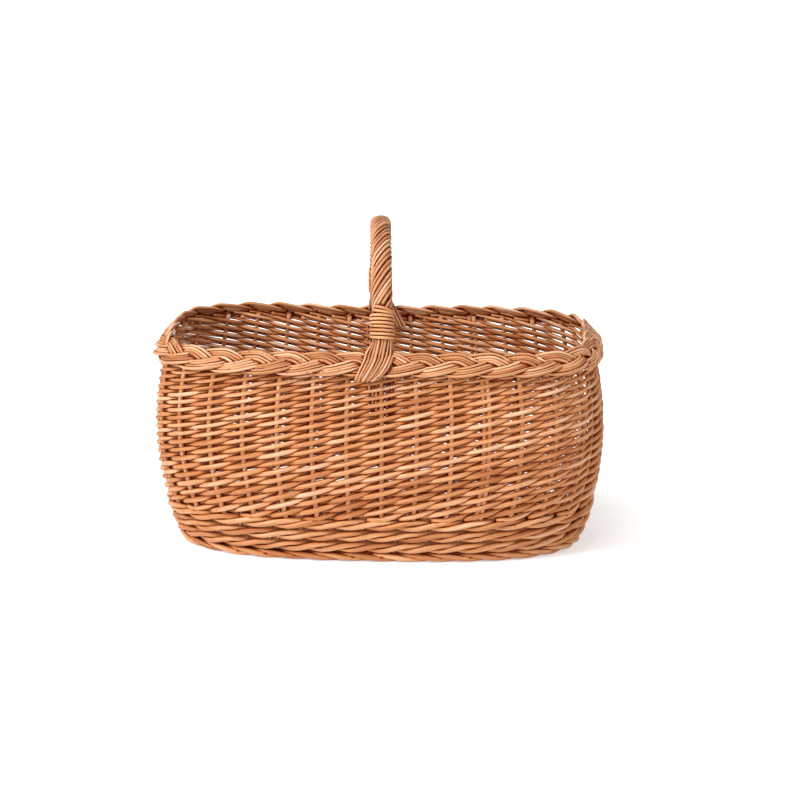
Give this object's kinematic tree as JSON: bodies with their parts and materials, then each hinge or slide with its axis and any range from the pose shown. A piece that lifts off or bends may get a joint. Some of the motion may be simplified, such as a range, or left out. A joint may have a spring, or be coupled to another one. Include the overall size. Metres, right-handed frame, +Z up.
{
  "type": "mushroom foraging basket",
  "caption": "Oval basket woven from peeled willow rods round upright stakes, with a plaited rim, a twisted foot and a roped bow handle across the middle.",
  "frame": {"origin": "on the ground, in the middle of the basket's footprint", "axes": "+X along the basket's length, +Y from its front to its back, +Z up; the handle stands over the middle in the Y-Z plane"},
  "size_m": [0.448, 0.2756, 0.321],
  "materials": {
    "stake_willow": "buff willow, peeled, satin",
    "side_willow": "buff willow, peeled, satin",
    "wale_willow": "buff willow, peeled, satin",
    "plait_willow": "buff willow, peeled, satin",
    "foot_willow": "buff willow, peeled, dry satin",
    "base_willow": "buff willow, peeled, dry matt",
    "handle_willow": "buff willow, peeled, satin",
    "binding_willow": "buff willow, peeled, satin, wound tight"
  },
  "bodies": {
    "root": {"stake_01": "stake_willow", "stake_02": "stake_willow", "stake_03": "stake_willow", "stake_04": "stake_willow", "stake_05": "stake_willow", "stake_06": "stake_willow", "stake_07": "stake_willow", "stake_08": "stake_willow", "stake_09": "stake_willow", "stake_10": "stake_willow", "stake_11": "stake_willow", "stake_12": "stake_willow", "stake_13": "stake_willow", "stake_14": "stake_willow", "stake_15": "stake_willow", "stake_16": "stake_willow", "stake_17": "stake_willow", "stake_18": "stake_willow", "stake_19": "stake_willow", "stake_20": "stake_willow", "stake_21": "stake_willow", "stake_22": "stake_willow", "stake_23": "stake_willow", "stake_24": "stake_willow", "stake_25": "stake_willow", "stake_26": "stake_willow", "stake_27": "stake_willow", "stake_28": "stake_willow", "stake_29": "stake_willow", "stake_30": "stake_willow", "stake_31": "stake_willow", "stake_32": "stake_willow", "stake_33": "stake_willow", "stake_34": "stake_willow", "stake_35": "stake_willow", "stake_36": "stake_willow", "side_weaver_1": "side_willow", "side_weaver_2": "side_willow", "wale_1": "wale_willow", "wale_2": "wale_willow", "wale_3": "wale_willow", "plait_strand_1": "plait_willow", "plait_strand_2": "plait_willow", "plait_strand_3": "plait_willow", "foot_ring": "foot_willow", "base_weave": "base_willow", "base_long_stick_1": "stake_willow", "base_long_stick_2": "stake_willow", "base_long_stick_3": "stake_willow", "base_cross_stick_1": "stake_willow", "base_cross_stick_2": "stake_willow", "base_cross_stick_3": "stake_willow", "bow": "stake_willow", "handle_rope": "handle_willow", "binding_front": "binding_willow", "binding_back": "binding_willow", "outer_fan_front": "handle_willow", "outer_fan_back": "handle_willow", "inner_fan_front": "handle_willow", "inner_fan_back": "handle_willow"}
  },
  "joints": []
}
